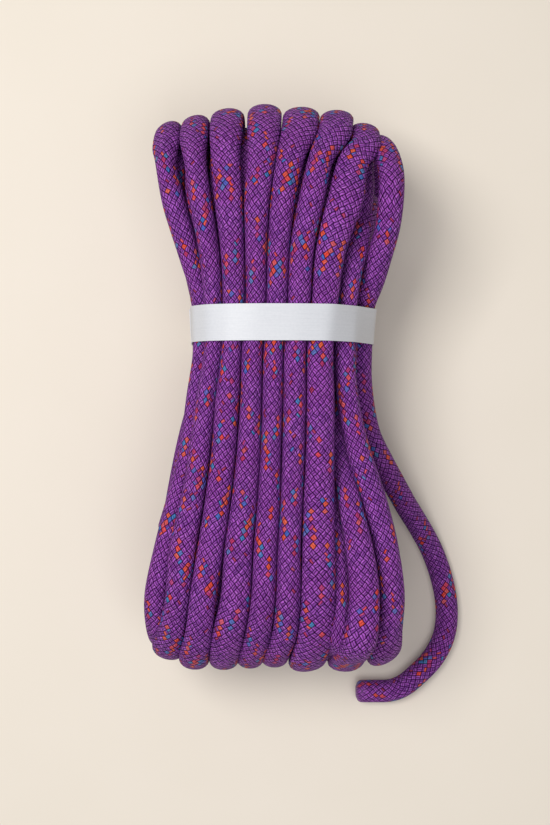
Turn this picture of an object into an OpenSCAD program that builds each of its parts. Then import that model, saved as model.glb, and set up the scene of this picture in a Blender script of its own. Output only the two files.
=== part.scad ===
// Dynamic climbing rope, wound as a hank that lies flat and is held at its waist by a paper band.
// Millimetres, +Z up, +Y along the hank. The origin is the middle of the band's underside.
// The turns stand in upright planes side by side along X. The outer layer of turns is one unbroken
// tube, wound over the plain solid of the inner turns. The last length leaves the hank as a loose
// turn and a tail, where the braided sheath and the core strands are separate pieces.

/* [Rope] */
// Diameter of the rope
rope_d = 11; // [9.5:0.1:12]
// Thickness of the braided sheath
sheath_t = 1.3; // [0.9:0.1:1.6]
// Gap between neighbouring core strands
strand_gap = 0.1; // [0.05:0.05:0.3]
// Length of the heat-fused plug at each end of the rope
tip_len = 14; // [12:1:24]
// Rounding of the fused plug's edge
tip_round = 2.6; // [1:0.2:4]

/* [Hank] */
// Length of the hank over its end lobes
hank_len = 262; // [240:2:290]
// Height of the hank over its outer turns
hank_h = 96; // [88:1:104]
// Number of turns in the outer layer
turns = 8; // [6:1:10]
// Distance from the band to the middle of the hank's length
band_offset = 27; // [15:1:35]
// Width of one turn under the band, where the turns are squeezed together
waist_w = 8.6; // [8:0.1:9]
// Width of one turn at the ends of the hank, where it lies flattened
lobe_w = 11.8; // [10.6:0.1:12.4]
// Height of one turn
turn_h = 10.6; // [9.6:0.1:11.4]
// Gap between neighbouring turns under the band
waist_gap = 0.45; // [0.45:0.05:0.8]
// Gap between neighbouring turns at the ends
lobe_gap = 3.2; // [2:0.1:4]
// Gap between the outer turns and the inner ones
seat_gap = 0.3; // [0.2:0.05:0.6]
// How far the outermost turns sit below the middle ones
edge_drop = 9.5; // [6:0.5:11]
// Sideways set of the lobes from the waist
lobe_set = 4; // [0:0.5:6]
// How far the last turn's upper lobe is tucked in under the loose turn
tuck = 14; // [10:0.5:16]

/* [Spread of the turns] */
// Length over which the turns spread, above the band
spread_up = 100; // [80:2:110]
// Length of the narrow part, below the band
narrow_down = 25; // [10:1:35]
// Length over which the turns spread, below the narrow part
spread_down = 95; // [80:1:110]

/* [Paper band] */
// Width of the band along the hank
band_w = 16; // [12:0.5:24]
// Thickness of the paper
band_t = 0.35; // [0.3:0.05:0.6]
// Clearance between the band and the turns
band_fit = 0.5; // [0.4:0.05:0.8]
// Radius of the band's upper corner over the first turn, and of both lower corners, inside
band_corner = 15; // [10:0.5:16]
// Radius of the band's upper corner over the loose turn, inside
band_slope = 28; // [20:0.5:30]
// Length of the glued overlap on the band's side
overlap = 30; // [15:1:40]

/* [Hidden] */
strand_count = 12;
inner_strands = 3;
strand_names = [for (i = [1 : strand_count]) str("core_strand_", i < 10 ? "0" : "", i)];
$fn = 64;

// The winding: each turn has 24 rings, 5 along each run and 7 round each end.
run_steps = 5;
arc_steps = 7;
turn_steps = 2 * (run_steps + arc_steps);
tube_sides = 6;
tail_sides = 12;
// Slack between the highest and lowest turns and the hank's overall height.
height_slack = 0.1;
turn_r = (hank_h - turn_h) / 2 - height_slack;
axis_z = hank_h / 2;
run_half = (hank_len - hank_h) / 2;
mid_y = -band_offset;
waist_pitch = waist_w + waist_gap;
lobe_pitch = lobe_w + lobe_gap;
// Lanes are counted from the middle of the outer turns and the loose one beside them.
lane_shift = (turns + 1) / 2;
// The hank's top and underside are flat for this many lanes each way, and fall away further out.
flat_lanes = 1;
edge_lanes = 2.5;
// The upper runs lie half a lane left of the lower ones, so the middle is between the two.
middle_lane = -0.25;
// The run's part in which it rises over the band.
lift_reach = 60;
// The length over which the tucked lobe leaves its neighbours' level.
tuck_reach = 55;
// The winding starts where the bottom run meets the upper end's arc.
first_step = 2;
last_step = first_step + turns * turn_steps;
// The core stays this far, in lanes, inside the first turn and the last one.
core_rim_left = 0.15;
core_rim_right = 1.2;
core_lane_step = 0.45;
core_left = -lane_shift + core_rim_left;
core_rows = 1 + round((2 * lane_shift - core_rim_left - core_rim_right) / core_lane_step);
core_right = core_left + core_lane_step * (core_rows - 1);
// The tucked lobe is the last turn's.
tuck_lane = lane_shift - 2.4;

function unit(v) = v / norm(v);
function mix(a, b, f) = a + (b - a) * f;
function smooth(s) = let (q = min(1, max(0, s))) q * q * (3 - 2 * q);
// 0 in the waist, 1 where the turns have spread.
function flare(y) = y > 0 ? smooth(y / spread_up) : smooth((-y - narrow_down) / spread_down);
function lane_x(lane, y) = lane * mix(waist_pitch, lobe_pitch, flare(y)) + lobe_set * flare(y);
function beyond_flat(lane) = max(0, abs(lane - middle_lane) - flat_lanes);
function crown(lane) = edge_drop * pow(beyond_flat(lane) / edge_lanes, 2);
// Under the band the turns leave room for the paper.
function waist_lift(y) = (band_t + band_fit) * (1 - smooth(abs(y) / lift_reach));

// One turn in its own plane, [y, z from the axis], at step k of 24 and radius r.
function turn_yz(k, r) =
    let (half = run_steps / 2, top = half + arc_steps, far = top + run_steps, low = far + arc_steps)
    k < half ? [mid_y + run_half * k / half, -r]
    : k < top ? let (a = -90 + 180 * (k - half) / arc_steps)
        [mid_y + run_half + r * cos(a), r * sin(a)]
    : k < far ? [mid_y + run_half * (1 - (k - top) / half), r]
    : k < low ? let (a = 90 + 180 * (k - far) / arc_steps)
        [mid_y - run_half + r * cos(a), r * sin(a)]
    : [mid_y - run_half * (turn_steps - k) / half, -r];

// A point of the layer that lies inset below the outer turns' middle line, where the upper end
// is tucked in by "in".
function layer_point(lane, k, inset, in) =
    let (kk = k - turn_steps * floor(k / turn_steps),
         plain = turn_yz(kk, turn_r),
         p = turn_yz(kk, turn_r - crown(lane) - waist_lift(plain[0]) - inset
                         - in * smooth(plain[0] / tuck_reach)),
         y = p[0] - in * smooth(p[0] / tuck_reach))
    [lane_x(lane, y), y, axis_z + p[1]];

function step_lane(n) = n / turn_steps - lane_shift;
// Only the last turn is tucked in. The winding's last steps come out again, to the loose turn.
tuck_from = last_step - first_step - turn_steps + 1;
tuck_to = last_step - first_step;
function wind_tuck(n) = n >= tuck_from && n < tuck_to ? tuck : 0;
function wind_point(n) = layer_point(step_lane(n), n, 0, wind_tuck(n));
// Direction along X on the layer's surface, so that a flattened turn lies flat on its neighbours.
function across(n) = let (lane = step_lane(n), in = wind_tuck(n))
    layer_point(lane + 0.5, n, 0, in) - layer_point(lane - 0.5, n, 0, in);

// Sections: a ring of points about p, square to the direction t, with its first point along s.
function ring(p, t, s, half_w, half_h, sides) =
    let (u = unit(s - (s * t) * t), v = cross(t, u))
    [for (i = [0 : sides - 1]) let (a = 360 * i / sides) p + u * half_w * cos(a) + v * half_h * sin(a)];

function tangents(p) = [for (i = [0 : len(p) - 1])
    unit(i == 0 ? p[1] - p[0] : i == len(p) - 1 ? p[i] - p[i - 1]
         : unit(p[i + 1] - p[i]) + unit(p[i] - p[i - 1]))];
// Carries one side direction along a route without twist.
function carry(t, s, i = 0) =
    i == len(t) ? [] : let (u = unit(s - (s * t[i]) * t[i])) concat([u], carry(t, u, i + 1));

function flat_list(v) = [for (a = v) for (b = a) b];
function tube_faces(rings, m) = [for (i = [0 : rings - 2]) for (j = [0 : m - 1])
    let (a = i * m + j, b = i * m + (j + 1) % m) each [[a, a + m, b + m], [a, b + m, b]]];
function cap_faces(m) = [for (j = [1 : m - 2]) [0, j, j + 1]];
function turned(faces, by = 0) = [for (f = faces) [f[2] + by, f[1] + by, f[0] + by]];

module closed_tube(rings, m) {
    last = (len(rings) - 1) * m;
    polyhedron(flat_list(rings),
               concat(tube_faces(len(rings), m), cap_faces(m), turned(cap_faces(m), last)));
}

// A tube with a bore: the outer rings first, then the inner ones.
module open_tube(outer, inner, m) {
    count = len(outer);
    inside = count * m;
    last = inside - m;
    rim = [for (j = [0 : m - 1]) let (k = (j + 1) % m)
        each [[j, k, inside + k], [j, inside + k, inside + j]]];
    polyhedron(flat_list(concat(outer, inner)),
               concat(tube_faces(count, m), turned(tube_faces(count, m), inside), rim,
                      turned(rim, last)));
}

// ---- Outer turns ----

function turn_half_w(y) = mix(waist_w, lobe_w, flare(y)) / 2;
wind_path = [for (n = [first_step : last_step]) wind_point(n)];
wind_dir = tangents(wind_path);
wind_rings = [for (i = [0 : len(wind_path) - 1])
    ring(wind_path[i], wind_dir[i], across(first_step + i), turn_half_w(wind_path[i][1]),
         turn_h / 2 / sin(60), tube_sides)];

// The least distance between one turn and the next, point to point.
next_turns = [for (i = [0 : len(wind_rings) - turn_steps - 2]) for (d = [-1 : 1])
    let (j = i + turn_steps + d) if (j < len(wind_rings))
        min([for (p = wind_rings[i]) for (q = wind_rings[j]) norm(p - q)])];
least_gap = min(next_turns);
echo(least_gap_of_outer_turns = least_gap);

module outer_turns() {
    color([0.46, 0.22, 0.62]) closed_tube(wind_rings, tube_sides);
}

// ---- Inner turns ----

// The core's surface lies below the turns by this much, square to the surface.
core_depth = turn_h / 2 + seat_gap;
function crown_slope(lane) = 2 * edge_drop * beyond_flat(lane) / pow(edge_lanes, 2);
function core_inset(lane) = core_depth
    * norm([1, crown_slope(lane) / waist_pitch, core_tuck(lane) / tuck_reach]);
core_lanes = [for (i = [0 : core_rows - 1]) core_left + core_lane_step * i];
function core_tuck(lane) = lane > tuck_lane - core_lane_step / 2 ? tuck : 0;
half_turn = turn_steps / 2;
// A side of the core is closed by upright strips between its lower and its upper edge.
function strips(first) = [for (k = [first : first + half_turn / 2 - 1])
    let (up = 2 * first + half_turn - k, below = up - 1)
    each concat(k + 1 < below ? [[k, k + 1, below]] : [], [[k, below, up % turn_steps]])];

module core_body() {
    m = turn_steps;
    points = [for (lane = core_lanes) for (k = [0 : m - 1])
        layer_point(lane, k, core_inset(lane), core_tuck(lane))];
    skin = [for (j = [0 : core_rows - 2]) for (k = [0 : m - 1])
        let (a = j * m + k, b = j * m + (k + 1) % m) each [[a, a + m, b + m], [a, b + m, b]]];
    side = concat(strips(0), strips(half_turn));
    polyhedron(points, concat(skin, side, turned(side, (core_rows - 1) * m)));
}

// The climb: from the outer turns' start the rope runs straight for a diameter, then rises to the
// layer above by the climb's middle, and moves sideways into the inner turns over its later part.
climb_straight = rope_d / (run_half * 2 / run_steps);
climb_steps = 1;
climb_lanes = 0.9;
rise_by = 0.5;
sideways_from = 0.19;
sideways_over = 0.62;
climb_path = concat([wind_point(first_step)], [for (s = [0 : 0.25 : 1])
    let (k = first_step - climb_straight - climb_steps * s)
    layer_point(step_lane(k) + climb_lanes * smooth((s - sideways_from) / sideways_over), k,
                (turn_h + seat_gap) * smooth(s / rise_by), 0)]);

module climb() {
    dir = tangents(climb_path);
    rings = [for (i = [0 : len(climb_path) - 1])
        ring(climb_path[i], i == 0 ? -wind_dir[0] : dir[i], across(first_step),
             turn_half_w(climb_path[i][1]), turn_h / 2 / sin(60), tube_sides)];
    closed_tube(rings, tube_sides);
}

// The rope's first end lies in a groove in the left side of the inner turns.
first_len = 45;
first_from_y = -37;
first_lane = core_left + 0.3;
first_low = [lane_x(first_lane, first_from_y - first_len), first_from_y - first_len, axis_z];
first_top = [lane_x(first_lane, first_from_y), first_from_y, axis_z];
first_turn = atan2(first_low[1] - first_top[1], first_low[0] - first_top[0]);

module along_first_end() {
    translate(first_top) rotate([0, 0, first_turn]) rotate([0, 90, 0]) children();
}

module inner_turns() {
    color([0.33, 0.15, 0.46]) difference() {
        union() {
            core_body();
            climb();
        }
        along_first_end() cylinder(h = first_len + tip_len, d = rope_d + 2 * seat_gap);
    }
}

module first_end() {
    color([0.46, 0.22, 0.62]) along_first_end() cylinder(h = first_len, d = rope_d);
}

// ---- Loose turn and tail ----

wind_end = wind_path[len(wind_path) - 1];
wind_end_dir = wind_dir[len(wind_dir) - 1];
// Route of the loose turn from the outer turns' end, over the upper end of the hank to the band,
// and of the tail down the right side to the surface.
loose_route = [
    [47.5, 66, 19],
    [47.5, 77, 26],
    [46, 84, 36],
    [45.2, 86, 48],
    [46, 84, 60],
    [47.6, 78, 71],
    [48.8, 69, 79],
    [48.4, 57.5, 83.5],
    [47.2, 45, 80],
    [44.2, 32.5, 74],
    [41.2, 21.5, 67.5],
    [37.2, 10.5, 62],
    [36.3, -8, 58.5],
    [36.2, -22.5, 57],
    [37.8, -36, 54.5],
    [41, -49, 50],
    [47.2, -61, 43.5],
    [54, -72.5, 35],
    [61, -84, 25],
    [69, -96, 14.5],
    [76, -108.5, 7.5],
    [81, -122.5, 5.5],
    [83.4, -137, 5.5],
    [82.2, -150.5, 5.5],
    [77, -161.5, 5.5],
    [69, -170, 5.5],
    [60.5, -176, 5.5],
];
tail_end = [51.5, -179, 5.5];
tail_route = concat([wind_end, wind_end + wind_end_dir * rope_d], loose_route,
                    [tail_end + [rope_d / 3, 0, 0], tail_end]);
tail_dir = tangents(tail_route);
tail_side = carry(tail_dir, [1, 0, 0]);
function tail_rings(d, sides, at = [0, 0]) = [for (i = [0 : len(tail_route) - 1])
    let (u = tail_side[i], v = cross(tail_dir[i], u))
    ring(tail_route[i] + u * at[0] + v * at[1], tail_dir[i], u, d / 2, d / 2, sides)];

bore_d = rope_d - 2 * sheath_t;

module tail_sheath() {
    color([0.46, 0.22, 0.62])
        open_tube(tail_rings(rope_d, tail_sides), tail_rings(bore_d, tail_sides), tail_sides);
}

// Three core strands lie in the middle and nine round them, in the sheath's bore. The outer ones lie
// on a circle of this radius, counted in strand pitches.
outer_ring = 1.53;
bundle = 2 * outer_ring + 1;
strand_pitch = (bore_d * cos(180 / tail_sides) - strand_gap) / bundle;
strand_d = strand_pitch - strand_gap;
function strand_at(i) = i < inner_strands
    ? let (a = 360 * i / inner_strands) [cos(a), sin(a)] * strand_pitch / sqrt(3)
    : let (n = strand_count - inner_strands, a = 360 * (i - inner_strands + 0.5) / n)
        [cos(a), sin(a)] * strand_pitch * outer_ring;

module core_strand(i) {
    color([0.93, 0.92, 0.88]) closed_tube(tail_rings(strand_d, tube_sides, strand_at(i)), tube_sides);
}

// The fused plug: straight, with a rounded edge, along its own +Z.
module fused_plug() {
    r = rope_d / 2;
    rotate_extrude() union() {
        square([r, tip_len - tip_round]);
        square([r - tip_round, tip_len]);
        translate([r - tip_round, tip_len - tip_round]) intersection() {
            circle(tip_round);
            square(tip_round);
        }
    }
}

module tail_tip() {
    color([0.36, 0.16, 0.5]) translate(tail_end) rotate([0, -90, 0]) fused_plug();
}

module first_tip() {
    color([0.36, 0.16, 0.5]) along_first_end() translate([0, 0, first_len]) fused_plug();
}

// ---- Paper band ----

// The loose turn passes the band at its right side, in the lane after the last turn's.
loose_lane = lane_shift - 0.5;
band_half = loose_lane * waist_pitch + rope_d / 2 + 2 * band_fit;
band_low = band_t;
band_high = hank_h - band_t;

// What a rounded corner leaves out of a square one, for a corner that points along dir. It reaches
// past the square corner by corner_over.
corner_over = 1;
module corner_off(at, dir, r) {
    reach = r + corner_over;
    translate(at - dir * r) difference() {
        translate([dir[0] > 0 ? 0 : -reach, dir[1] > 0 ? 0 : -reach]) square(reach);
        circle(r);
    }
}

// The band's outline, grown by "more" from its inside.
module band_outline(more) {
    half = band_half + more;
    low = band_low - more;
    high = band_high + more;
    difference() {
        translate([-half, low]) square([2 * half, high - low]);
        for (x = [-1, 1]) corner_off([x * half, low], [x, -1], band_corner + more);
        corner_off([-half, high], [-1, 1], band_corner + more);
        corner_off([half, high], [1, 1], band_slope + more);
    }
}

module paper_band() {
    color([0.93, 0.93, 0.95]) translate([0, band_w / 2, 0]) rotate([90, 0, 0]) linear_extrude(band_w) {
        difference() {
            band_outline(band_t);
            band_outline(0);
        }
        translate([-band_half - 2 * band_t, axis_z - overlap / 2]) square([2 * band_t, overlap]);
    }
}

paper_band();
outer_turns();
inner_turns();
tail_sheath();
tail_tip();
first_end();
first_tip();
for (i = [0 : strand_count - 1]) {
    core_strand(i);
}
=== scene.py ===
import math

import bpy
import numpy as np
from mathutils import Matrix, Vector


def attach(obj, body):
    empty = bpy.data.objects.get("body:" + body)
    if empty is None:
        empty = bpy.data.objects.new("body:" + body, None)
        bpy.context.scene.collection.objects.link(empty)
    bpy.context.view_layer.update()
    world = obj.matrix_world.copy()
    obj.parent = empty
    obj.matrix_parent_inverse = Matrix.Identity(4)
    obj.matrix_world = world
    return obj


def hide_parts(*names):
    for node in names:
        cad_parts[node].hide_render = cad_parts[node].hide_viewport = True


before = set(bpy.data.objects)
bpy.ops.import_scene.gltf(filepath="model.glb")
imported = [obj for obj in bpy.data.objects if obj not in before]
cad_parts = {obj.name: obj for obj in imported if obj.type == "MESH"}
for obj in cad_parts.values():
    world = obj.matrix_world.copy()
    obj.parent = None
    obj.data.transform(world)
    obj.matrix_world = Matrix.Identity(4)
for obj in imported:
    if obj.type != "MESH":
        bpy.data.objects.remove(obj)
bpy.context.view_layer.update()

# Lengths are in mm and angles in degrees, where nothing else is said.
MM = 0.001
ROPE_D = 11.0
ROPE_LENGTH = 20.0              # in metres
CELL = 3.3                      # length of one braid cell along the rope
CARRIERS = 12                   # pairs of yarns that wind round the rope each way
AXIS_Z = 48.0                   # middle of the hank's height
FOLD = 50.0                     # length of the part in which a run turns into a fold
FLOOR_GAP = 0.12                # air below the lowest runs
PRESS = 0.7                     # how far the band presses the outer runs inwards
FULL_H = 5.3                    # half height of a wound rope that isn't pressed wide
LEAST_H_SQUARED = 22.0          # square of the half height of the widest one
OUTER_STEP = 1.65               # between the rings of each stretch's mesh
LOOSE_STEP = OUTER_STEP / 2
INNER_STEP = 2.4
PLUG_STEP = 0.8                 # the same, in the fused end inside the hank
OUTER_SIDES, LOOSE_SIDES, INNER_SIDES = 24, 48, 16      # points of a ring
FINE_STEP = 0.8                 # between the points that a curve is evened out on
EVENING_PASSES = 8


# ---- Node trees ------------------------------------------------------------------------------

class Sock:
    """An output of a node tree that can be reckoned with."""

    def __init__(self, tree, out):
        self.tree, self.out = tree, out

    def into(self, node, name):
        self.tree.links.new(self.out, node.inputs[name])

    def _math(self, op, *others):
        node = self.tree.nodes.new("ShaderNodeMath")
        node.operation = op
        for i, v in enumerate((self,) + others):
            if isinstance(v, Sock):
                v.into(node, i)
            else:
                node.inputs[i].default_value = v
        return Sock(self.tree, node.outputs[0])

    def __add__(self, v): return self._math("ADD", v)
    def __sub__(self, v): return self._math("SUBTRACT", v)
    def __mul__(self, v): return self._math("MULTIPLY", v)
    def __truediv__(self, v): return self._math("DIVIDE", v)
    def floor(self): return self._math("FLOOR")
    def fract(self): return self._math("FRACT")
    def mod(self, v): return self._math("FLOORED_MODULO", v)
    def min(self, v): return self._math("MINIMUM", v)
    def max(self, v): return self._math("MAXIMUM", v)
    def less(self, v): return self._math("LESS_THAN", v)
    def more(self, v): return self._math("GREATER_THAN", v)
    def near(self, v, e=0.5): return self._math("COMPARE", v, e)

    def edge(self):
        """How far a share is from 0 or 1, whichever is nearer."""
        return self.min(self * -1.0 + 1.0)

    def step(self, low, high, to_low=0.0, to_high=1.0):
        """A smooth step from one number to another, as this one goes from low to high."""
        node = self.tree.nodes.new("ShaderNodeMapRange")
        node.interpolation_type = "SMOOTHSTEP"
        self.into(node, "Value")
        for name, v in (("From Min", low), ("From Max", high), ("To Min", to_low),
                        ("To Max", to_high)):
            node.inputs[name].default_value = v
        return Sock(self.tree, node.outputs["Result"])

    def shifted(self, x):
        """These coordinates, moved along X."""
        node = self.tree.nodes.new("ShaderNodeVectorMath")
        node.operation = "ADD"
        self.into(node, 0)
        node.inputs[1].default_value = (x, 0.0, 0.0)
        return Sock(self.tree, node.outputs[0])

    def between(self, zero, one):
        """A number between two others, by this share."""
        return zero + (one - zero) * self

    def pick(self, zero, one):
        """A colour between two others, by this share."""
        node = self.tree.nodes.new("ShaderNodeMix")
        node.data_type = "RGBA"
        self.into(node, "Factor")
        for place, v in ((6, zero), (7, one)):      # the colour inputs, A and B
            if isinstance(v, Sock):
                v.into(node, place)
            else:
                node.inputs[place].default_value = (*v, 1.0)
        return Sock(self.tree, node.outputs[2])


def vector(tree, x, y, z):
    node = tree.nodes.new("ShaderNodeCombineXYZ")
    for i, v in enumerate((x, y, z)):
        if isinstance(v, Sock):
            v.into(node, i)
        else:
            node.inputs[i].default_value = v
    return Sock(tree, node.outputs[0])


def white_noise(tree, x, y, seed):
    node = tree.nodes.new("ShaderNodeTexWhiteNoise")
    node.noise_dimensions = "3D"
    vector(tree, x, y, seed).into(node, "Vector")
    return Sock(tree, node.outputs["Value"])


def noise(tree, where, scale, detail=2.0):
    node = tree.nodes.new("ShaderNodeTexNoise")
    where.into(node, "Vector")
    node.inputs["Scale"].default_value = scale
    node.inputs["Detail"].default_value = detail
    return Sock(tree, node.outputs["Fac"])


def object_coords(tree):
    return Sock(tree, tree.nodes.new("ShaderNodeTexCoord").outputs["Object"])


def uv_coords(tree, name):
    uv = tree.nodes.new("ShaderNodeUVMap")
    uv.uv_map = name
    cut = tree.nodes.new("ShaderNodeSeparateXYZ")
    tree.links.new(uv.outputs[0], cut.inputs[0])
    return Sock(tree, cut.outputs[0]), Sock(tree, cut.outputs[1])


def new_material(name):
    mat = bpy.data.materials.new(name)
    mat.use_nodes = True
    tree = mat.node_tree
    shader = next(n for n in tree.nodes if n.type == "BSDF_PRINCIPLED")
    return mat, tree, shader


def bump(tree, shader, height, distance):
    """Height as a bump of this distance in metres."""
    node = tree.nodes.new("ShaderNodeBump")
    node.inputs["Distance"].default_value = distance
    node.inputs["Strength"].default_value = 1.0
    height.into(node, "Height")
    tree.links.new(node.outputs[0], shader.inputs["Normal"])


# ---- Materials -------------------------------------------------------------------------------

PURPLES = (0.2, 0.034, 0.32), (0.46, 0.105, 0.63)
PLUM = (0.36, 0.05, 0.42)
REDS = (0.8, 0.05, 0.03), (0.78, 0.12, 0.045)
CRIMSON = (0.5, 0.03, 0.13)
STRAY_RED = (0.4, 0.03, 0.12)
BLUES = (0.04, 0.12, 0.55), (0.03, 0.25, 0.5)
# Painted highlight: the whitish colour of the sheen on the floats.
PAINTED_SHEEN = (0.75, 0.55, 0.8)
# Painted shade: the near-black colour of the crevices between the floats and yarns.
SEAM_SHADE = (0.009, 0.001, 0.014)
MELTED = (0.13, 0.02, 0.18)
YARN_WHITES = (0.74, 0.73, 0.69), (0.9, 0.89, 0.86)
PAPER_WHITES = (0.585, 0.6, 0.645), (0.64, 0.652, 0.695)
FLOOR_TONES = (0.8, 0.73, 0.63), (0.83, 0.76, 0.67)
TRACER_BAND = 2.5               # the three carriers numbered below this have tracers
TRACER_B_START = 5.0            # the second family's carriers are numbered from this one


def braid_cells(tree, u, v, place):
    """The braid's lattice: each cell's number in both families of yarns, its kind, and where in
    it a point lies across and along the yarns on top."""
    drag = [noise(tree, place.shifted(s), 330.0, 1.0) * 0.6 - 0.3 for s in (0.0, 3.0)]
    a = u * float(CARRIERS) + v / (CELL * MM) + drag[0]
    b = u * float(CARRIERS) - v / (CELL * MM) + drag[1]
    in_a, in_b, cell_a, cell_b = a.fract(), b.fract(), a.floor(), b.floor()
    # Each carrier lays a pair of yarns over one of the other family and under the next.
    kind = (cell_a + cell_b).mod(4.0)
    on_b = kind.mod(2.0)
    return cell_a, cell_b, kind, on_b.between(in_a, in_b), on_b.between(in_b, in_a)


def tracer_shares(tree, v, kind, turn_a, turn_b, chance, yarn):
    """Where red and blue show: in a band of three carriers each way, strong in some stretches
    of the rope."""
    lead = noise(tree, vector(tree, v * 7.0, 0.0, 3.0), 1.0, 1.0).step(0.4, 0.6)
    band_a = turn_a.less(TRACER_BAND) * lead.more(0.25)
    band_b = (turn_b - TRACER_B_START).mod(float(CARRIERS)).less(TRACER_BAND) * lead.less(0.75)
    whole = yarn.more(0.16)
    red, blue = ((band_a * kind.near(on_a) + band_b * kind.near(on_b)).min(1.0)
                 * chance.more(least) * whole
                 for on_a, on_b, least in ((0.0, 1.0, 0.08), (3.0, 2.0, 0.55)))
    return red, blue


def yarn_colour(tree, place, red, blue, chances, yarn):
    """The yarn's own colour, before the painted seam shade and the painted sheen."""
    strength, mix, odd = chances
    patches = noise(tree, place, 55.0).step(0.35, 0.65)
    purple = (patches * 0.3).pick(yarn.pick(*PURPLES), PLUM)
    reds = odd.less(0.25).pick(mix.pick(*REDS), CRIMSON)
    colour = yarn.more(0.985).pick(purple, STRAY_RED)
    colour = (red * (strength * 0.3 + 0.72)).pick(colour, reds)
    return (blue * (strength * 0.6 + 0.35)).pick(colour, mix.pick(*BLUES))


def braid_group():
    """Braided sheath, from the rope's own coordinates: U once round, V along in metres."""
    tree = bpy.data.node_groups.new("braid", "ShaderNodeTree")
    u, v = uv_coords(tree, "rope")
    place = object_coords(tree)
    cell_a, cell_b, kind, lane, travel = braid_cells(tree, u, v, place)
    turn_a, turn_b = cell_a.mod(float(CARRIERS)), cell_b.mod(float(CARRIERS))
    side = (lane * 2.0).fract().edge()          # to the edge of one yarn of the pair
    outer, end = lane.edge(), travel.edge()     # to the edge and the end of the pair
    pillow = side.step(0.0, 0.4) * end.step(0.0, 0.36) * 0.6 + outer.step(0.0, 0.4) * 0.4
    streak = noise(tree, vector(tree, lane * 5.0, travel * 1.5, turn_a * 7.0 + cell_b * 1.3), 1.0)
    chances = [white_noise(tree, turn_a, cell_a - cell_b, seed) for seed in (1.0, 5.0, 9.0)]
    yarn = white_noise(tree, turn_a + (lane * 2.0).floor() * 0.4, cell_a - cell_b, 12.0)
    red, blue = tracer_shares(tree, v, kind, turn_a, turn_b, chances[0], yarn)
    colour = yarn_colour(tree, place, red, blue, chances, yarn)
    # Painted highlight: whitish sheen mixed in along the fibre streaks at the middle of each
    # float.
    colour = (streak.step(0.5, 0.75) * pillow * 0.22).pick(colour, PAINTED_SHEEN)
    # Painted shade: near-black colour where the crevices between the floats lie, and a thinner
    # line of it between the yarns of a pair, which fades on the tracers. The low parts of the
    # fibre streaks are darkened a little towards it, and the shine is lower in the shaded seams.
    thin = side.step(0.0, 0.3, 0.16, 1.0)
    thin = (red + blue).min(1.0).between(thin, thin * 0.4 + 0.6)
    unshaded = outer.step(0.0, 0.17, 0.05, 1.0) * end.step(0.0, 0.16, 0.05, 1.0) * thin
    unshaded = unshaded * streak.step(0.25, 0.5, 0.8, 1.0)
    out = tree.nodes.new("NodeGroupOutput")
    for name, socket, value in (
            ("Color", "NodeSocketColor", unshaded.pick(SEAM_SHADE, colour)),
            ("Height", "NodeSocketFloat", pillow + streak * 0.25),
            ("Roughness", "NodeSocketFloat", pillow * -0.14 + 0.7),
            ("Shine", "NodeSocketFloat", unshaded * 0.3)):
        tree.interface.new_socket(name, in_out="OUTPUT", socket_type=socket)
        value.into(out, name)
    return tree


def braid_outputs(tree, braid):
    group = tree.nodes.new("ShaderNodeGroup")
    group.node_tree = braid
    return [Sock(tree, group.outputs[name]) for name in ("Color", "Height", "Roughness", "Shine")]


def sheath_material(braid):
    mat, tree, shader = new_material("braided sheath")
    colour, height, rough, shine = braid_outputs(tree, braid)
    colour.into(shader, "Base Color")
    rough.into(shader, "Roughness")
    shine.into(shader, "Specular IOR Level")
    bump(tree, shader, height, 0.0006)
    return mat


def fused_material(braid):
    """Sheath and core melted together: the braid still shows, glazed and darker at the face."""
    mat, tree, shader = new_material("fused end")
    colour, height, _, shine = braid_outputs(tree, braid)
    melt = uv_coords(tree, "melt")[1]
    lumps = noise(tree, object_coords(tree), 420.0, 3.0)
    glaze = (melt + lumps * 0.5 - 0.25).step(0.45, 1.0)
    (glaze * 0.4).pick(colour, MELTED).into(shader, "Base Color")
    (glaze * -0.3 + 0.62).into(shader, "Roughness")
    shine.max(glaze * 0.4).into(shader, "Specular IOR Level")
    bump(tree, shader, height * (glaze * -0.75 + 1.0) + lumps * 0.4, 0.0005)
    return mat


def yarn_material():
    mat, tree, shader = new_material("core yarn")
    where = object_coords(tree)
    fibres = noise(tree, where, 900.0, 4.0)
    plies = noise(tree, where, 160.0, 1.0)
    fibres.step(0.3, 0.7).pick(*YARN_WHITES).into(shader, "Base Color")
    shader.inputs["Roughness"].default_value = 0.75
    bump(tree, shader, fibres + plies, 0.0003)
    return mat


def paper_material():
    """Coated paper: a faint ribbing along the band and a soft gloss."""
    mat, tree, shader = new_material("band paper")
    run, width = uv_coords(tree, "paper")
    ribs = noise(tree, vector(tree, run * 60.0, width * 2600.0, 0.0), 1.0, 2.0)
    pulp = noise(tree, vector(tree, run * 900.0, width * 900.0, 4.0), 1.0, 4.0)
    tone = ribs.step(0.35, 0.65) * 0.5 + pulp.step(0.3, 0.7) * 0.5
    tone.pick(*PAPER_WHITES).into(shader, "Base Color")
    shader.inputs["Roughness"].default_value = 0.5
    shader.inputs["Coat Weight"].default_value = 0.12
    shader.inputs["Coat Roughness"].default_value = 0.3
    bump(tree, shader, ribs * 0.7 + pulp * 0.3, 0.00006)
    return mat


BRAID = braid_group()
SHEATH = sheath_material(BRAID)
FUSED = fused_material(BRAID)
YARN = yarn_material()
PAPER = paper_material()


# ---- Camera, light and floor, in metres ------------------------------------------------------

LIGHTS_AIM = (0, -0.03, 0.05)


def camera():
    data = bpy.data.cameras.new("camera")
    cam = bpy.data.objects.new("camera", data)
    bpy.context.scene.collection.objects.link(cam)
    data.sensor_fit = "VERTICAL"
    data.angle = math.radians(35.81)
    cam.location = (-0.0032, -0.0385, 0.65)
    data.clip_start = 0.01
    bpy.context.scene.camera = cam


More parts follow.
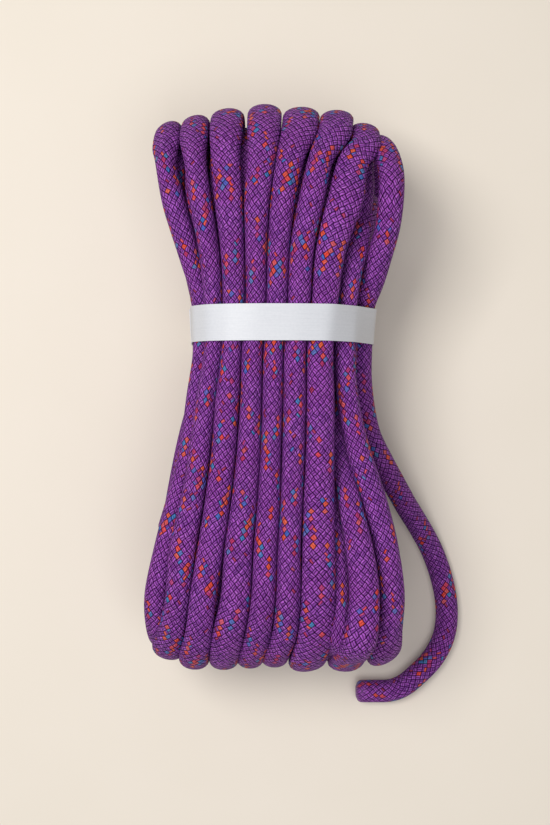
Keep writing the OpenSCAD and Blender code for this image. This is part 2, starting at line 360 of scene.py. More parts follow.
def soft_light(name, place, size, power, colour):
    data = bpy.data.lights.new(name, "AREA")
    data.shape = "SQUARE"
    data.size = size
    data.energy = power
    data.color = colour
    lamp = bpy.data.objects.new(name, data)
    bpy.context.scene.collection.objects.link(lamp)
    lamp.location = place
    aim = Vector(LIGHTS_AIM) - Vector(place)
    lamp.rotation_euler = aim.to_track_quat("-Z", "Y").to_euler()


def studio():
    world = bpy.data.worlds.new("studio")
    bpy.context.scene.world = world
    world.use_nodes = True
    sky = world.node_tree.nodes["Background"]
    sky.inputs["Color"].default_value = (1.0, 0.99, 0.975, 1.0)
    sky.inputs["Strength"].default_value = 0.27
    soft_light("key light", (-0.4, 0.2, 1.05), 0.5, 8.6, (1.0, 0.985, 0.96))
    soft_light("fill light", (0.12, -0.35, 1.1), 0.6, 3.6, (0.97, 0.98, 1.0))
    bpy.ops.mesh.primitive_plane_add(size=6.0, location=(0, 0, 0))
    floor = bpy.context.object
    floor.name = "floor"
    mat, tree, shader = new_material("pale floor")
    noise(tree, object_coords(tree), 14.0, 3.0).pick(*FLOOR_TONES).into(shader, "Base Color")
    shader.inputs["Roughness"].default_value = 0.7
    floor.data.materials.append(mat)
    bpy.context.scene.view_settings.view_transform = "Standard"


camera()
studio()


# ---- Routes ----------------------------------------------------------------------------------
# A route is a list of rows: x, y, z, half width, half height, tilt. The tilt turns the section's
# width from X towards the outside of the hank.

def row(x, y, z, half_w, half_h, tilt=0.0):
    return [x, y, z, half_w, half_h, tilt]


def height_for(half_w, most=FULL_H):
    """Half height of a rope pressed wide: it gets thin, as its outline keeps its length."""
    kept = 2 * (ROPE_D / 2) ** 2 - half_w ** 2
    return min(most, math.sqrt(max(LEAST_H_SQUARED, kept)))


def unit(v):
    return v / np.linalg.norm(v, axis=-1, keepdims=True)


def tangents(p):
    return unit(np.gradient(p, axis=0))


def run_along(p):
    """Distance run along a line of points, at each of them."""
    return np.concatenate([[0], np.cumsum(np.linalg.norm(np.diff(p, axis=0), axis=1))])


def spline(rows, step):
    """Rows at even steps along a smooth curve through the given ones, and its length."""
    p = np.array(rows, float)
    gap = np.linalg.norm(np.diff(p[:, :3], axis=0), axis=1)
    t = run_along(p[:, :3])
    slope = np.diff(p, axis=0) / gap[:, None]
    m = np.zeros_like(p)
    m[0], m[-1] = slope[0], slope[-1]
    w = (gap[1:] / (gap[1:] + gap[:-1]))[:, None]
    m[1:-1] = slope[:-1] * w + slope[1:] * (1 - w)
    q = np.linspace(0, t[-1], int(t[-1] / FINE_STEP))
    i = np.clip(np.searchsorted(t, q, "right") - 1, 0, len(gap) - 1)
    h = gap[i][:, None]
    s = ((q - t[i]) / gap[i])[:, None]
    fine = ((1 + 2 * s) * (1 - s) ** 2 * p[i] + s * (1 - s) ** 2 * h * m[i]
            + s * s * (3 - 2 * s) * p[i + 1] + s * s * (s - 1) * h * m[i + 1])
    for _ in range(EVENING_PASSES):             # evens out the curvature between the ends
        fine[1:-1] = (fine[:-2] + 2 * fine[1:-1] + fine[2:]) / 4
    run = run_along(fine[:, :3])
    even = np.linspace(0, run[-1], max(2, round(run[-1] / step)) + 1)
    return np.stack([np.interp(even, run, fine[:, c]) for c in range(p.shape[1])], 1), run[-1]


def hank_sides(rows):
    """The section's width lies along X, tilted towards the outside of the turn."""
    t = tangents(rows[:, :3])
    x = unit(np.array([1.0, 0, 0]) - t * t[:, :1])
    a = np.radians(rows[:, 5])[:, None]
    return x * np.cos(a) + np.cross(t, x) * np.sin(a)


def carried_sides(rows, first):
    """One side direction carried along the route without twist."""
    sides, u = [], np.array(first, float)
    for d in tangents(rows[:, :3]):
        u = unit(u - d * (u @ d))
        sides.append(u)
    return np.array(sides)


def on_floor(rows):
    """Lifts the lowest runs so that their flattened sections rest on the floor."""
    a = np.radians(rows[:, 5])
    reach = np.hypot(rows[:, 3] * np.sin(a), rows[:, 4] * np.cos(a)) + FLOOR_GAP
    rows[:, 2] = np.maximum(rows[:, 2], reach)
    return rows


# ---- Rope meshes -----------------------------------------------------------------------------

SECTION_POWER = 2.08            # 2 gives an ellipse, more a squarer section
SECTION_POINTS = 97
WOUND_TWIST = 1.3               # turns per metre of the yarns round the wound rope
LOOSE_TWIST = 0.6
WANDER = 0.12                   # how much that changes, in turns
WANDER_STEP = 190               # over this length


def section(half_w, half_h):
    """Points round a flattened section with the share of its outline run at each."""
    a = np.linspace(0, 2 * math.pi, SECTION_POINTS)
    c, s = np.cos(a), np.sin(a)
    x = half_w * np.sign(c) * np.abs(c) ** (2 / SECTION_POWER)
    y = half_h * np.sign(s) * np.abs(s) ** (2 / SECTION_POWER)
    run = np.concatenate([[0], np.cumsum(np.hypot(np.diff(x), np.diff(y)))])
    return run / run[-1], x, y


def rope_rings(rows, side_dirs, count, step, twist, seed):
    """Rings of count points round the route. They turn slowly round it, as a wound rope does."""
    t = tangents(rows[:, :3])
    n = len(rows)
    knots = 9 + int(n * step / WANDER_STEP)
    rng = np.random.default_rng(seed)
    wander = np.interp(np.arange(n), np.linspace(0, n, knots),
                       np.cumsum(rng.normal(0, WANDER, knots)))
    rings = np.zeros((n, count, 3))
    for i, u in enumerate(side_dirs):
        f, x, y = section(rows[i, 3], rows[i, 4])
        at = (np.arange(count) / count + twist * i * step / 1000 + wander[i]) % 1.0
        rings[i] = (rows[i, :3] + np.outer(np.interp(at, f, x), u)
                    + np.outer(np.interp(at, f, y), np.cross(t[i], u)))
    return rings


def tube_corners(n, m, first):
    """Corners of the triangles between n rings of m points, each as its ring and its place in
    it. The diagonals change from cell to cell, also where one piece goes on in the next."""
    i, j = (a.ravel() for a in np.meshgrid(np.arange(n - 1), np.arange(m), indexing="ij"))
    cell = np.stack([np.stack(c, 1) for c in ((i, j), (i, j + 1), (i + 1, j + 1), (i + 1, j))], 1)
    one = np.stack([cell[:, [0, 1, 2]], cell[:, [0, 2, 3]]], 1)
    two = np.stack([cell[:, [0, 1, 3]], cell[:, [1, 2, 3]]], 1)
    even = ((i + first + j) % 2 == 0)[:, None, None, None]
    return np.where(even, one, two).reshape(-1, 3, 2)


def add_uvs(mesh, name, spots):
    layer = mesh.uv_layers.new(name=name)
    layer.data.foreach_set("uv", np.array(spots, np.float32).ravel())


def add_object(name, mesh, material):
    obj = bpy.data.objects.new(name, mesh)
    bpy.context.scene.collection.objects.link(obj)
    obj.data.materials.append(material)
    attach(obj, "root")
    return obj


def rope_piece(name, rings, first, last, v_at, material, melt=None):
    """A closed piece of rope from the rings first to last."""
    part = rings[first:last + 1]
    n, m = part.shape[:2]
    tube = tube_corners(n, m, first)
    faces = (tube[:, :, 0] * m + tube[:, :, 1] % m).tolist()
    caps = []
    for middle, ring, way in ((n * m, 0, -1), (n * m + 1, n - 1, 1)):
        for a in range(m):
            pair = [a, a + 1][::way]
            faces.append([ring * m + b % m for b in pair] + [middle])
            caps += [(ring, b) for b in (*pair, pair[0] + 0.5)]
    spots = np.vstack([tube.reshape(-1, 2), caps])
    ring_of = first + spots[:, 0].astype(int)
    points = np.vstack([part.reshape(-1, 3), part[0].mean(0), part[-1].mean(0)])
    mesh = bpy.data.meshes.new(name)
    mesh.from_pydata((points * MM).tolist(), [], faces)
    add_uvs(mesh, "rope", np.stack([spots[:, 1] / m, v_at[ring_of]], 1))
    if melt is not None:
        add_uvs(mesh, "melt", np.stack([np.full(len(spots), 0.5), melt[ring_of]], 1))
    mesh.shade_smooth()
    mesh.update()
    return add_object(name, mesh, material)


def stands_for(nodes):
    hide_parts(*nodes)


def declare(rows):
    (rows[:, :3] * MM).tolist()


# ---- The outer turns -------------------------------------------------------------------------

# Each turn's upper run: its level, its tilt, and x and half width at the stations, which are y.
STATIONS = [77, 55, 33, 9, -9, -33, -55, -77, -99, -121, -138]
UPPER = [
    (80.0, 30, [-52.7, -48.3, -41.8, -35.3, -35.2, -38.4, -41.2, -46.5, -52.1, -56.7, -57.0],
     [5.4, 5.5, 4.9, 4.4, 4.4, 4.5, 4.7, 5.1, 5.3, 5.6, 5.6]),
    (86.5, 14, [-39.2, -36.1, -32.3, -30.3, -30.2, -33.5, -36.3, -39.6, -44.1, -46.5, -50.2],
     [5.6, 5.3, 4.9, 4.5, 4.4, 4.7, 5.1, 5.5, 6.4, 5.9, 6.6]),
    (89.5, 5, [-25.2, -23.6, -21.9, -21.3, -22.2, -24.1, -25.7, -28.3, -31.6, -35.1, -37.5],
     [7.0, 6.5, 5.6, 5.2, 4.7, 5.6, 5.7, 5.9, 6.1, 6.2, 6.4]),
    (90.6, 0, [-8.9, -11.1, -11.5, -11.7, -13.1, -13.7, -14.7, -16.7, -19.2, -20.7, -24.2],
     [6.8, 5.9, 5.1, 4.8, 4.9, 5.0, 5.5, 5.9, 6.5, 6.9, 7.4]),
    (90.6, 0, [4.3, 0.3, -1.7, -2.5, -3.8, -4.3, -5.0, -5.9, -7.4, -8.5, -11.0],
     [6.8, 5.7, 5.1, 4.9, 4.7, 4.8, 4.8, 5.3, 5.5, 5.7, 6.1]),
    (90.4, 0, [18.3, 12.8, 8.6, 7.3, 5.7, 5.4, 4.9, 4.1, 3.0, 2.6, 0.8],
     [6.1, 5.9, 5.6, 5.4, 5.2, 5.3, 5.3, 5.2, 5.4, 5.8, 6.1]),
    (89.3, -8, [33.8, 27.8, 21.4, 18.6, 16.7, 16.8, 16.6, 16.1, 16.0, 15.8, 15.0],
     [7.2, 8.2, 7.0, 6.2, 6.1, 6.5, 6.7, 7.2, 7.7, 8.0, 8.5]),
    (79.0, -28, [40.3, 38.0, 32.9, 28.9, 28.0, 29.4, 34.0, 41.0, 46.6, 49.5, 48.9],
     [5.2, 5.3, 5.1, 4.6, 4.7, 5.1, 5.5, 6.1, 5.9, 6.1, 6.6]),
]
# Each fold above and below the band: x of its middle, y of its outline's end, and half width.
FOLDS_UP = [(-53.0, 97.8, 6.7), (-40.2, 100.9, 6.7), (-25.2, 104.0, 7.8), (-7.9, 105.9, 7.9),
            (9.3, 104.6, 8.5), (25.8, 103.2, 7.9), (38.6, 97.1, 7.2), (40.0, 65.0, 5.6)]
FOLDS_DOWN = [(-56.4, -149.4, 6.2), (-52.9, -154.5, 7.2), (-40.9, -159.1, 6.9),
              (-27.0, -159.2, 6.9), (-14.8, -158.6, 6.3), (-3.4, -158.1, 6.4),
              (11.9, -160.0, 8.8), (47.8, -156.6, 8.4)]
FOLD_ANGLES = (-72, -45, -20, 0, 20, 45, 72)
FOLD_DOWN_ANGLES = (25, 0, -22, -45, -72)
FOLD_FOOT_W = 5.4               # half width where a fold goes over into a run
FOLD_MARGIN = 8                 # least distance of a station from the folds' outermost points
LOWER_FOLD = FOLD * 0.75        # what the folds take of the underside's runs
LOWER_SPREAD = 0.97             # x of the underside's runs, as a share of the upper ones'
WINDING_START = row(-40.5, 20.0, 22.5, 4.6, 4.9, 30)    # where the inner turns end
FIRST_RUN = row(-45.5, 42, 18.5, 5.0, 5.0, 30)
# On the underside, from the last fold to the loose turn.
LAST_RUN = [(45.5, -88, 17), (40.0, -60, 17), (35.6, -30, 17), (34.3, -5, 17.2), (37.0, 20, 17.8)]
WINDING_END = [41.12, 39.4, 17.83]


def fold_level(y, apex, level, sign):
    """Level of an upper run where it goes over into a fold."""
    q = min(1.0, max(0.0, (sign * (y - apex) + FOLD) / FOLD))
    return AXIS_Z + (level - AXIS_Z) * math.sqrt(1 - q * q)


def upper_run(xs, ws, level, tilt, top, low):
    """Rows of an upper run between the folds whose outermost middle points are top and low."""
    rows = []
    for y, x, w in zip(STATIONS, xs, ws):
        if low + FOLD_MARGIN < y < top - FOLD_MARGIN:
            z = min(fold_level(y, top, level, 1), fold_level(y, low, level, -1))
            near = math.exp(-(y / 20) ** 2)
            rows.append(row(x, y, z - PRESS * near, w - 0.3, height_for(w) - 0.3 * near, tilt))
    return rows


def fold(x_in, x_out, apex, level, low_level, tilt, sign, angles, reach=FOLD, half_h=None):
    """Rows round one end of the hank: the upper one for sign 1, the lower one for -1. The apex
    is x, y and half width. Positive angles lie on the hank's upper side."""
    x, y, w = apex
    rows = []
    for a in angles:
        c, s = math.cos(math.radians(a)), math.sin(math.radians(a))
        foot = x_out if (sign > 0) == (a > 0) else x_in
        wide = w + (FOLD_FOOT_W - w) * (1 - c) ** 1.5
        radius = level - AXIS_Z if s > 0 else AXIS_Z - low_level
        rows.append(row(x + (foot - x) * (1 - c) ** 0.8, y - sign * reach * (1 - c),
                        AXIS_Z + radius * s, wide, half_h or height_for(wide), tilt))
    return rows


def lower_run(start, end, waist):
    """The run on the hank's underside, from a lower fold to the next upper one. Both ends are
    x, y, z and tilt, and waist is its x below the band."""
    rows = []
    for f in (0.2, 0.4, 0.58, 0.72, 0.86):
        x, y, z, tilt = (a + (b - a) * f for a, b in zip(start, end))
        near = math.exp(-(y / 34) ** 2)
        rows.append(row(x + (waist - x) * near, y, z + PRESS * near, 5.3 - 0.8 * near,
                        5.1 - 0.3 * near, tilt))
    return rows


def outer_rows():
    rows = [WINDING_START, FIRST_RUN]
    last = len(UPPER) - 1
    for i, (level, tilt, xs, ws) in enumerate(UPPER):
        (up_x, up_y, up_w), (down_x, down_y, down_w) = FOLDS_UP[i], FOLDS_DOWN[i]
        top, low = up_y - height_for(up_w), down_y + height_for(down_w)
        under, under_z = xs[9] * LOWER_SPREAD, 2 * AXIS_Z - level
        # The first fold starts higher, and the last one is short.
        angles = FOLD_ANGLES[:4] if i else (-60, -40, -20, 0)
        angles += (22, 40) if i < last else (22,)
        rows += fold(xs[0] * 0.95, xs[0], (up_x, top, up_w), level, under_z if i else 20.0, tilt,
                     1, angles)
        rows += upper_run(xs, ws, level, tilt, top, low)
        rows += fold(xs[10], under, (down_x, low, down_w), level, under_z, tilt, -1,
                     FOLD_DOWN_ANGLES)
        if i < last:
            level1, tilt1, xs1, _ = UPPER[i + 1]
            waist = (xs[3] + xs[4] + xs1[3] + xs1[4]) / 4
            start = (under, low + LOWER_FOLD, under_z, tilt)
            end = (xs1[1] * LOWER_SPREAD, FOLDS_UP[i + 1][1] - 5 - LOWER_FOLD,
                   2 * AXIS_Z - level1, tilt1)
            rows += lower_run(start, end, waist)
    rows += [row(*p, 4.8, 5.0, tilt) for p in LAST_RUN]
    rows.append(row(*WINDING_END, 5.1, 5.2, tilt))
    return rows


# ---- The inner turns -------------------------------------------------------------------------

# Nine columns of turns, nested in up to four layers below the outer one. Some have a line of x
# at the stations, and those between the first and the sixth fan out evenly.
COLUMN_LINES = {0: [-52, -47.5, -41.8, -36.8, -36.4, -38.5, -42, -47, -52, -56, -55],
                6: [18, 16.5, 15, 13.6, 13.4, 11, 9, 11, 15, 17, 16.5],
                7: [27, 25.5, 24, 22, 21.7, 20, 20.5, 25, 30, 33.5, 33],
                8: [38, 36, 33, 30.4, 30.2, 30, 33, 39, 45, 48, 47]}
# Below the band the top turns of the last two columns rise between the outer ones: x, level and
# half width at the stations, and the lower fold as above.
RISING = {7: ([27, 25.5, 24, 22, 21.7, 19.5, 17.5, 20.5, 24.8, 25.6, 25.6],
              [73, 73, 73, 73, 73, 73.5, 75, 77, 80, 81, 80],
              [4.5, 4.5, 4.3, 4.1, 4.1, 4.1, 4.3, 4.3, 4.3, 4.3, 4.4], (24.6, -156.5, 5.3)),
          8: ([37.5, 35.5, 33, 30.4, 30.2, 28, 26.3, 29.7, 34, 36.2, 34.6],
              [69, 69, 69, 69, 69, 69.5, 71.5, 82, 87.5, 87.5, 86.5],
              [4.5, 4.5, 4.3, 4.1, 4.1, 4.1, 4.2, 5.2, 6.3, 6.9, 7.6], (29.8, -160, 8.3))}
TOP_RADII = [22.0, 28.9, 31.9, 33.0, 33.0, 32.9, 31.8, 25.0, 21.0]
INNERMOST = 5.8                 # half height of the turns that nothing else lies within
LAYER_GAP = 8.1                 # least difference of the half heights of nested turns
LAYER_STEP = 9.2                # from one layer's fold to the next one's
CROSSING = 110                  # the runs below change columns within this distance of y = 0
ASIDE = 4.2
INNER_H = 4.15
INNER_FOLD_W = 5.3
INNER_WAIST_W = 4.1
FIRST_END =[[-49.68, -82, 48], [-45.2, -67, 48], [-41.2, -52, 48], [-37.53, -37, 48]]
LEAD_IN = [(-33.5, -5, 45.5, 4.6, 4.4), (-32.5, 20, 44.5, 4.6, 4.3)]
LEAD_OUT = [(-48.5, -85, 25.5), (-42.5, -58, 25.5), (-38.3, -30, 25.7), (-36.8, -5, 25.6)]


def line_x(j, y):
    return float(np.interp(-y, [-s for s in STATIONS], COLUMN_LINES[j]))


def column_x(j, y):
    if j in (7, 8):
        return line_x(j, y)
    return line_x(0, y) + (line_x(6, y) - line_x(0, y)) * j / 6


def column_radii(j):
    """Half heights of the nested turns of one column, the outermost first."""
    if j == 0:
        return [TOP_RADII[0], 13.2]
    count = 1 + int((TOP_RADII[j] - 4.5) / LAYER_GAP)
    return list(np.linspace(TOP_RADII[j], INNERMOST, count))


def waisted(y, more, reach):
    """Half width of an inner run, which the band squeezes round y = 0."""
    return INNER_WAIST_W + more * (1 - math.exp(-(y / reach) ** 2))


def column_end(j, sign):
    """The middle line's outermost y of the outer turns over a column, at one end of the hank."""
    ends = sorted(FOLDS_UP if sign > 0 else FOLDS_DOWN)
    return float(np.interp(column_x(j, STATIONS[0 if sign > 0 else -1]), [e[0] for e in ends],
                           [e[1] - sign * height_for(e[2]) for e in ends]))


def inner_turn(j, layer, radius):
    """Rows of one nested turn, from its upper fold over the top to its lower fold."""
    inset = LAYER_STEP * layer
    reach = min(FOLD - inset, 1.4 * radius + 3) if radius > INNERMOST else radius
    top, low = column_end(j, 1) - inset, column_end(j, -1) + inset
    level, low_level = AXIS_Z + radius, AXIS_Z - radius
    rows = fold(column_x(j, 60), column_x(j, 60), (column_x(j, 70), top, INNER_FOLD_W), level,
                low_level, 0, 1, FOLD_ANGLES, reach, INNER_H)
    if layer == 1 and j in RISING:
        return rows + rising_run(j, top - reach, low_level)
    for y in STATIONS:
        if low + reach < y < top - reach:
            rows.append(row(column_x(j, y), y, level, waisted(y, 1.2, 60), INNER_H))
    return rows + fold(column_x(j, -120), column_x(j, -110),
                       (column_x(j, -135), low, INNER_FOLD_W), level, low_level, 0, -1,
                       FOLD_ANGLES[::-1], reach, INNER_H)


def rising_run(j, start, low_level):
    """The upper run and the lower fold of a turn that rises between the outer ones."""
    xs, levels, ws, (fold_x, fold_y, fold_w) = RISING[j]
    rows = [row(x, y, z, w, height_for(w, 4.6))
            for x, y, z, w in zip(xs, STATIONS, levels, ws) if fold_y + 14 <= y <= start]
    return rows + fold(xs[-1], column_x(j, -110), (fold_x, fold_y + height_for(fold_w), fold_w),
                       levels[-1], low_level, 0, -1, (25, 0, -20, -45, -72))


def inner_lower_run(turn, following):
    """Rows on the underside, from one nested turn's lower fold to the next one's upper fold."""
    (j, layer, radius), (j1, layer1, radius1) = turn, following
    # Where the layer changes, the run goes beside the turns that it would cross.
    aside = 0
    if layer != layer1:
        aside = (ASIDE if j == j1 == 8 else 0) - (ASIDE if j1 < 2 else 0)
    rows = []
    for y in (-75, -45, -20, 0, 20, 38):
        if y > column_end(j, -1) + LAYER_STEP * layer + 12:
            s = (y + CROSSING) / (2 * CROSSING)
            s = s * s * (3 - 2 * s)
            rows.append(row(column_x(j, y) * (1 - s) + column_x(j1, y) * s + aside, y,
                            AXIS_Z - radius * (1 - s) - radius1 * s, waisted(y, 1.1, 55), INNER_H))
    return rows


def inner_order():
    """Column, layer and half height of each turn as wound, from the first end outwards."""
    order = [(j, 4) for j in range(1, 7)]
    order += [(j, 3) for j in range(8, 0, -1)]
    order += [(j, 2) for j in range(9)]
    order += [(j, 1) for j in range(8, -1, -1)]
    return [(j, layer, column_radii(j)[layer - 1]) for j, layer in order]


def inner_rows():
    rows = [row(*p, 5.5, 5.5) for p in FIRST_END] + [row(*p) for p in LEAD_IN]
    order = inner_order()
    rows += inner_turn(*order[0])
    for turn, following in zip(order, order[1:]):
        rows += inner_lower_run(turn, following) + inner_turn(*following)
    return rows + [row(*p, 4.5, 4.4, 20) for p in LEAD_OUT] + [WINDING_START]


# ---- The loose turn, the tail and the fused ends ---------------------------------------------

# Route of the loose turn and the tail, as the solids have it.
LOOSE_ROUTE = [
    [47.5, 66, 19], [47.5, 77, 26], [46, 84, 36], [45.2, 86, 48], [46, 84, 60], [47.6, 78, 71],
    [48.8, 69, 79], [48.4, 57.5, 83.5], [47.2, 45, 80], [44.2, 32.5, 74], [41.2, 21.5, 67.5],
    [37.2, 10.5, 62], [36.3, -8, 58.5], [36.2, -22.5, 57], [37.8, -36, 54.5], [41, -49, 50],
    [47.2, -61, 43.5], [54, -72.5, 35], [61, -84, 25], [69, -96, 14.5], [76, -108.5, 7.6],
    [81, -122.5, 5.65], [83.4, -137, 5.65], [82.2, -150.5, 5.65], [77, -161.5, 5.65],
    [69, -170.2, 5.65], [60.5, -176.8, 5.65]]
TAIL_END = [51.5, -179, 5.8]
CROWN = [45.5, 69, 79]          # where the loose turn bends most and is widest
CROWN_REACH = 45
TIP_LEN = 14.0
TIP_ROUND = 3.0
TIP_BULGE = 0.12                # of the nearly flat end
TIP_FACE = 1.2                  # radius of its flat middle


def plug_rows(start, toward, step):
    """The fused plug: straight, with a rounded edge and a nearly flat end."""
    start, toward = np.array(start, float), unit(np.array(toward, float))
    rows = []
    for i in range(1, int(round(TIP_LEN / step)) + 1):
        s = i * step
        near = max(0.0, s - (TIP_LEN - TIP_ROUND))
        r = ROPE_D / 2 - TIP_ROUND + math.sqrt(max(0.0, TIP_ROUND ** 2 - near ** 2))
        rows.append(row(*(start + toward * s), r, r))
    rows.append(row(*(start + toward * (TIP_LEN + TIP_BULGE)), TIP_FACE, TIP_FACE))
    return np.array(rows)


def outer_turns():
    """The visible turns: one unbroken tube on the braid's own lattice."""
    rows, length = spline(outer_rows(), OUTER_STEP)
    rows = on_floor(rows)
    sides = hank_sides(rows)
    v = np.arange(len(rows)) * OUTER_STEP * MM
    rings = rope_rings(rows, sides, OUTER_SIDES, OUTER_STEP, WOUND_TWIST, seed=3)
    turns = rope_piece("rope_outer_turns", rings, 0, len(rows) - 1, v, SHEATH)
    stands_for(["outer_turns"])
    declare(rows)
    return turns, rows[-5:], sides[-1], v[-1]


def loose_turn_and_tail(lead, side, v_start):
    """The turn that leaves the hank, the tail and its fused end, in one sweep. It goes on from
    the winding's last rows, the lead, with the same side direction."""
    start, full = lead[-1, :3], ROPE_D / 2
    ahead = start + unit(start - lead[0, :3]) * ROPE_D
    rows = [row(*start, *lead[-1, 3:5])]
    for p in [ahead, *LOOSE_ROUTE, np.add(TAIL_END, [4, 0.35, 0]), TAIL_END]:
        press = max(0.0, 1 - math.dist(p, CROWN) / CROWN_REACH)
        rows.append(row(*p, full + 0.5 * press, full - 0.3 * press))
    rows, length = spline(rows, LOOSE_STEP)
    rows[:, 2] = np.maximum(rows[:, 2], TAIL_END[2])
    cut = len(rows) - 1
    whole = np.vstack([rows, plug_rows(TAIL_END, (-1, 0, 0), LOOSE_STEP)])
    v = v_start + np.arange(len(whole)) * LOOSE_STEP * MM
    melt = np.clip((np.arange(len(whole)) - cut) * LOOSE_STEP / TIP_LEN, 0, 1)
    rings = rope_rings(whole, carried_sides(whole, side), LOOSE_SIDES, LOOSE_STEP, LOOSE_TWIST,
                       seed=8)
    loose = rope_piece("rope_loose_turn_and_tail", rings, 0, cut, v, SHEATH)
    tip = rope_piece("fused_tail_end", rings, cut, len(whole) - 1, v, FUSED, melt)
    stands_for(["tail_sheath"])
    stands_for(["tail_tip"])
    declare(rows)
    return loose, v[-1]


def inner_turns(shown):
    """The turns below the outer ones and the rope's other fused end, in one sweep. They hold
    what the shown stretches leave of the rope's length."""
    rows = spline(inner_rows(), INNER_STEP)[0]
    plug = plug_rows(FIRST_END[0], np.subtract(FIRST_END[0], FIRST_END[1]), PLUG_STEP)[::-1]
    cut = len(plug)
    whole = np.vstack([plug, rows])
    v = np.concatenate([(np.arange(cut) - cut) * PLUG_STEP,
                        np.arange(len(rows)) * INNER_STEP]) * MM
    melt = np.clip(1 - np.arange(len(whole)) / cut, 0, 1)
    rings = rope_rings(whole, hank_sides(whole), INNER_SIDES, INNER_STEP, WOUND_TWIST, seed=5)
    hidden = rope_piece("rope_inner_turns", rings, cut, len(whole) - 1, v, SHEATH)
    first = rope_piece("fused_first_end", rings, 0, cut, v, FUSED, melt)
    stands_for(["inner_turns", "first_end"])
    stands_for(["first_tip"])
    rest = ROPE_LENGTH - shown - TIP_LEN * MM
    declare(rows)
    return hidden


def whole_rope():
    """The rope's three stretches, which join end to end."""
    turns, lead, side, turns_end = outer_turns()
    loose, tail_end = loose_turn_and_tail(lead, side, turns_end)
    return [turns, loose, inner_turns(tail_end)]


# ---- The paper band --------------------------------------------------------------------------

BAND_Y = 0.9                    # middle of the band's width
BAND_W = 16.0
BAND_LAP = 30.0                 # glued overlap of the paper
BAND_START = 200                # where the strip starts, round the hank from +X
BAND_POINTS = 480               # round the hank
BAND_COLUMNS = 9                # of points across the strip
BAND_SLICE = 2.2                # the rope this near to an edge of the band holds it up
BAND_AIR = 0.5                  # between rope and paper
BAND_FLOOR_GAP = 0.05
BAND_EVENING = 40               # passes that round the line off before it clears the rope
BAND_EVENING_AFTER = 14
PAPER_T = 0.35
LAP_AIR = 0.06                  # between the layers of the overlap
LAP_RISE = 14                   # points in which the strip's end climbs on its start


def hull(points):
    """Corners of the convex outline round the points, counter-clockwise."""
    points = sorted(map(tuple, points))
    outline = []
    for sweep in (points, points[::-1]):
        part = []
        for p in sweep:
            while len(part) > 1 and ((part[-1][0] - part[-2][0]) * (p[1] - part[-2][1])
                                     <= (part[-1][1] - part[-2][1]) * (p[0] - part[-2][0])):
                part.pop()
            part.append(p)
        outline += part[:-1]
    return np.array(outline)


def evened(line, times):
    for _ in range(times):
        line = (np.roll(line, 1, 0) + 2 * line + np.roll(line, -1, 0)) / 4
    return line


def band_line(pieces, y):
    """The paper's line in X and Z at one y, pulled tight round the rope, and the way outwards.
    It starts low on the left side and goes over the top."""
    points = []
    for obj in pieces:
        co = np.zeros(len(obj.data.vertices) * 3)
        obj.data.vertices.foreach_get("co", co)
        co = co.reshape(-1, 3) / MM
        points.append(co[np.abs(co[:, 1] - y) < BAND_SLICE][:, [0, 2]])
    corners = hull(np.vstack(points).round(3))
    corners = np.vstack([corners, corners[:1]])
    run = run_along(corners)
    fine = np.linspace(0, run[-1], 4000, endpoint=False)
    x, z = (np.interp(fine, run, corners[:, c]) for c in (0, 1))
    angle = np.arctan2(z - AXIS_Z, x)
    order = np.argsort(angle)
    at = math.radians(BAND_START) - np.linspace(0, 2 * math.pi, BAND_POINTS, endpoint=False)
    tight = np.interp(at, angle[order], np.hypot(x, z - AXIS_Z)[order], period=2 * math.pi)
    clear = np.maximum(evened(tight, BAND_EVENING), tight) + BAND_AIR
    radius = evened(clear, BAND_EVENING_AFTER)
    line = np.stack([radius * np.cos(at), AXIS_Z + radius * np.sin(at)], 1)
    line[:, 1] = np.maximum(line[:, 1], BAND_FLOOR_GAP + PAPER_T / 2)
    ahead = np.roll(line, -1, 0) - np.roll(line, 1, 0)
    return line, unit(np.stack([-ahead[:, 1], ahead[:, 0]], 1))


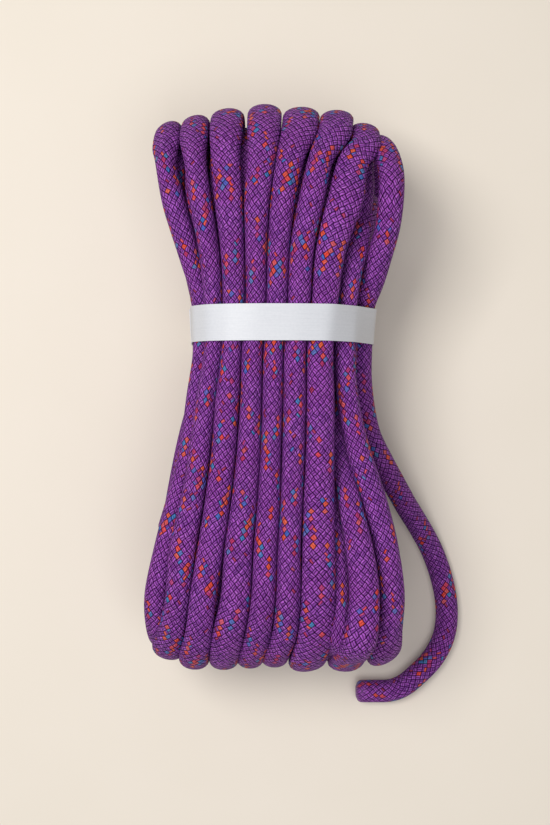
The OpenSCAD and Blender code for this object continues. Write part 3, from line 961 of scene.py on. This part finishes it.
def band_surfaces(pieces):
    """Points of the strip's outer and inner face, and the distance run along it. The strip's end
    is glued on its start."""
    (low, low_out), (high, high_out) = (band_line(pieces, BAND_Y + s * BAND_W / 2)
                                        for s in (-1, 1))
    gap = np.linalg.norm(np.roll(low, -1, 0) - low, axis=1)
    total = BAND_POINTS + int(np.searchsorted(np.cumsum(gap), BAND_LAP))
    rows = np.arange(total) % BAND_POINTS
    run = np.concatenate([[0], np.cumsum(gap[rows[:-1]])])
    over = np.clip((np.arange(total) - BAND_POINTS + LAP_RISE) / LAP_RISE, 0, 1)
    lift = (PAPER_T + LAP_AIR) * over * over * (3 - 2 * over)
    faces = np.zeros((2, total, BAND_COLUMNS, 3))
    for f, side in enumerate((0.5, -0.5)):
        for k, share in enumerate(np.linspace(0, 1, BAND_COLUMNS)):
            out = unit(low_out * (1 - share) + high_out * share)[rows]
            p = (low * (1 - share) + high * share)[rows] + out * (lift + side * PAPER_T)[:, None]
            faces[f, :, k, 0], faces[f, :, k, 2] = p[:, 0], p[:, 1]
            faces[f, :, k, 1] = BAND_Y + BAND_W * (share - 0.5)
    return faces, run


def strip_faces(total, m):
    """Corners of the faces of a closed strip of total by m points with two sides."""
    def at(side, i, j):
        return (side * total + i) * m + j
    e, faces = total - 1, []
    for i in range(e):
        for j in range(m - 1):
            faces.append([at(0, i, j), at(0, i + 1, j), at(0, i + 1, j + 1), at(0, i, j + 1)])
            faces.append([at(1, i, j), at(1, i, j + 1), at(1, i + 1, j + 1), at(1, i + 1, j)])
        faces.append([at(0, i, 0), at(1, i, 0), at(1, i + 1, 0), at(0, i + 1, 0)])
        faces.append([at(0, i, m - 1), at(0, i + 1, m - 1), at(1, i + 1, m - 1), at(1, i, m - 1)])
    for j in range(m - 1):
        faces.append([at(0, 0, j), at(0, 0, j + 1), at(1, 0, j + 1), at(1, 0, j)])
        faces.append([at(0, e, j), at(1, e, j), at(1, e, j + 1), at(0, e, j + 1)])
    return faces


def turn_outwards(obj):
    """Makes all the faces look out, and shades them smooth between the strip's edges."""
    bpy.ops.object.select_all(action="DESELECT")
    obj.select_set(True)
    bpy.context.view_layer.objects.active = obj
    bpy.ops.object.mode_set(mode="EDIT")
    bpy.ops.mesh.select_all(action="SELECT")
    bpy.ops.mesh.normals_make_consistent(inside=False)
    bpy.ops.object.mode_set(mode="OBJECT")
    bpy.ops.object.shade_smooth_by_angle(angle=math.radians(40))


def paper_band(pieces):
    surfaces, run = band_surfaces(pieces)
    total, m = surfaces.shape[1:3]
    faces = strip_faces(total, m)
    mesh = bpy.data.meshes.new("band_of_paper")
    mesh.from_pydata((surfaces.reshape(-1, 3) * MM).tolist(), [], faces)
    add_uvs(mesh, "paper", [(run[(v // m) % total] * MM, v % m / (m - 1) * BAND_W * MM)
                            for f in faces for v in f])
    obj = add_object("band_of_paper", mesh, PAPER)
    turn_outwards(obj)
    stands_for(["paper_band"])
    round(run[-1] * MM, 3)


# ---- The whole -------------------------------------------------------------------------------

paper_band(whole_rope())

for name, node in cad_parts.items():
    if name.startswith("core_strand"):
        for spot in node.material_slots:
            spot.material = YARN
